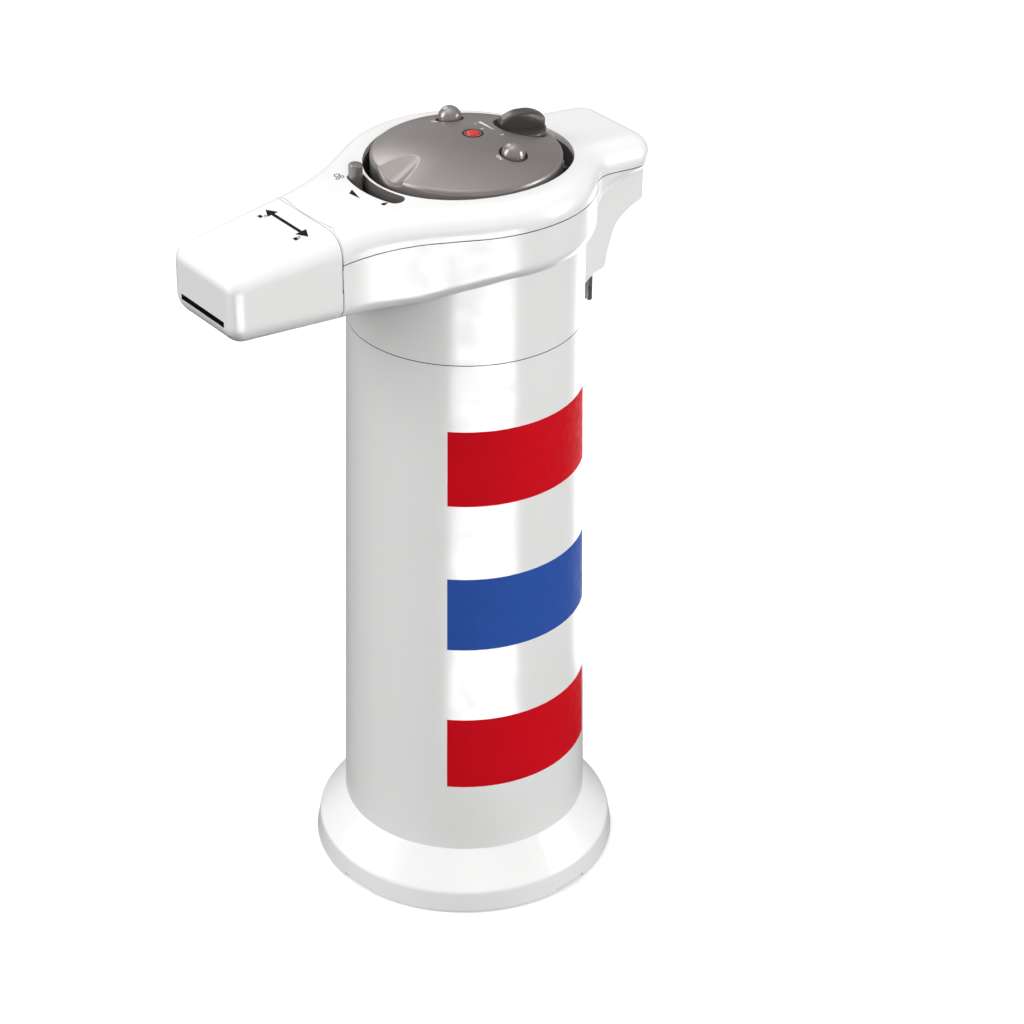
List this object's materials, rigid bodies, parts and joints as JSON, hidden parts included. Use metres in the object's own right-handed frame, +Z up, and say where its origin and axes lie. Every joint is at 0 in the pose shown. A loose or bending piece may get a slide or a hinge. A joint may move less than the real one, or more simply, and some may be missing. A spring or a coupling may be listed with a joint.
{
  "type": "hot lather machine",
  "caption": "Counter-top hot lather machine: tapered tube for an aerosol can, head with press plate, round buttons, dial, slide lever and twist-off slit spout, power inlet behind.",
  "frame": {"origin": "middle of the underside of the non-slip mat, on the tube's axis", "axes": "+Z up along the tube's axis, the spout towards -Y, the power inlet towards +Y"},
  "size_m": [0.1032, 0.1602, 0.2662],
  "materials": {
    "white_shell": "glossy white moulding",
    "grey_control": "satin warm grey moulding",
    "dark_grey": "satin dark grey moulding",
    "lamp_red": "clear red moulding",
    "inner_white": "plain white moulding",
    "bearing_plastic": "smooth natural acetal",
    "black_rubber": "matt black rubber",
    "seal_rubber": "soft silicone rubber",
    "foam": "closed-cell foam",
    "steel": "bright steel",
    "spring_steel": "drawn spring wire",
    "aluminium": "machined aluminium",
    "tube_metal": "drawn stainless tube",
    "band": "rolled heater band",
    "blades": "nickel-plated contact",
    "insulator": "pressed mica board",
    "board": "coated circuit board",
    "thermal_parts": "moulded black phenolic"
  },
  "bodies": {
    "base": {"can_tube": "white_shell", "base_foot": "white_shell", "can_floor": "inner_white", "can_rest": "foam", "base_cover": "inner_white", "nonslip_mat": "black_rubber", "base_screws": "steel", "bayonet_collar": "inner_white"},
    "head": {"lower_shell": "white_shell", "upper_shell": "white_shell", "shell_screws": "steel", "well_liner": "grey_control", "liner_screws": "steel", "hinge_pin": "steel", "heater_insulator": "insulator", "heater_block": "aluminium", "heater_band": "band", "heater_screws": "steel", "thermostat": "thermal_parts", "thermal_fuse": "thermal_parts", "outlet_tube": "tube_metal", "spout_socket": "inner_white", "socket_screws": "steel", "inlet_housing": "white_shell", "inlet_blades": "blades", "return_spring": "spring_steel"},
    "lever": {"cam_barrel": "bearing_plastic", "slide_lever": "grey_control", "lever_screw": "steel"},
    "adapter": {"valve_adapter": "bearing_plastic", "cam_pins": "steel", "adapter_seal": "seal_rubber"},
    "plunger": {"plunger": "bearing_plastic", "plunger_seals": "seal_rubber", "transfer_tube": "tube_metal"},
    "plate": {"press_plate": "grey_control", "plate_frame": "inner_white", "control_board": "board", "board_screws": "steel", "push_switches": "dark_grey", "dial_control": "dark_grey", "ready_lamp": "lamp_red", "lamp_lens": "lamp_red", "off_spring": "spring_steel", "on_spring": "spring_steel"},
    "off_button": {"off_button": "grey_control"},
    "on_button": {"on_button": "grey_control"},
    "knob": {"temperature_knob": "dark_grey", "dial_spindle": "steel"},
    "spout": {"spout_shell": "white_shell", "spout_collar": "inner_white", "spout_nozzle": "inner_white", "spout_seal": "seal_rubber"}
  },
  "joints": [
    {"name": "head_lift", "type": "slide", "parent": "base", "child": "head", "axis": [0, 0, 1], "range_m": [0, 0.06]},
    {"name": "lever_turn", "type": "hinge", "parent": "head", "child": "lever", "pos_m": [0, 0, 0.236], "axis": [0, 0, 1], "range_deg": [0, 33]},
    {"name": "adapter_drop", "type": "slide", "parent": "head", "child": "adapter", "axis": [0, 0, -1], "range_m": [0, 0.00151]},
    {"name": "plate_press", "type": "hinge", "parent": "head", "child": "plate", "pos_m": [0, 0.027, 0.248], "axis": [1, 0, 0], "range_deg": [0, 3.5], "stiffness_Nm_per_rad": 5, "springref_deg": -2.86},
    {"name": "plunger_push", "type": "slide", "parent": "head", "child": "plunger", "axis": [0, 0, -1], "range_m": [0, 0.00166], "deforming": ["return_spring"]},
    {"name": "off_press", "type": "slide", "parent": "plate", "child": "off_button", "axis": [0, 0, -1], "range_m": [0, 0.001], "stiffness_N_per_m": 600, "springref_m": -0.001, "deforming": ["off_spring"]},
    {"name": "on_press", "type": "slide", "parent": "plate", "child": "on_button", "axis": [0, 0, -1], "range_m": [0, 0.001], "stiffness_N_per_m": 600, "springref_m": -0.001, "deforming": ["on_spring"]},
    {"name": "knob_turn", "type": "hinge", "parent": "plate", "child": "knob", "pos_m": [0, 0.0218, 0.2589], "axis": [0, 0, 1], "range_deg": [-135, 135]},
    {"name": "spout_turn", "type": "hinge", "parent": "head", "child": "spout", "pos_m": [0, -0.06, 0.239], "axis": [0, -1, 0], "range_deg": [0, 20]}
  ],
  "couplings": [
    {"joint": "adapter_drop", "follows": "lever_turn", "m_per_rad": 0.002604},
    {"joint": "plunger_push", "follows": "plate_press", "m_per_rad": 0.027}
  ]
}
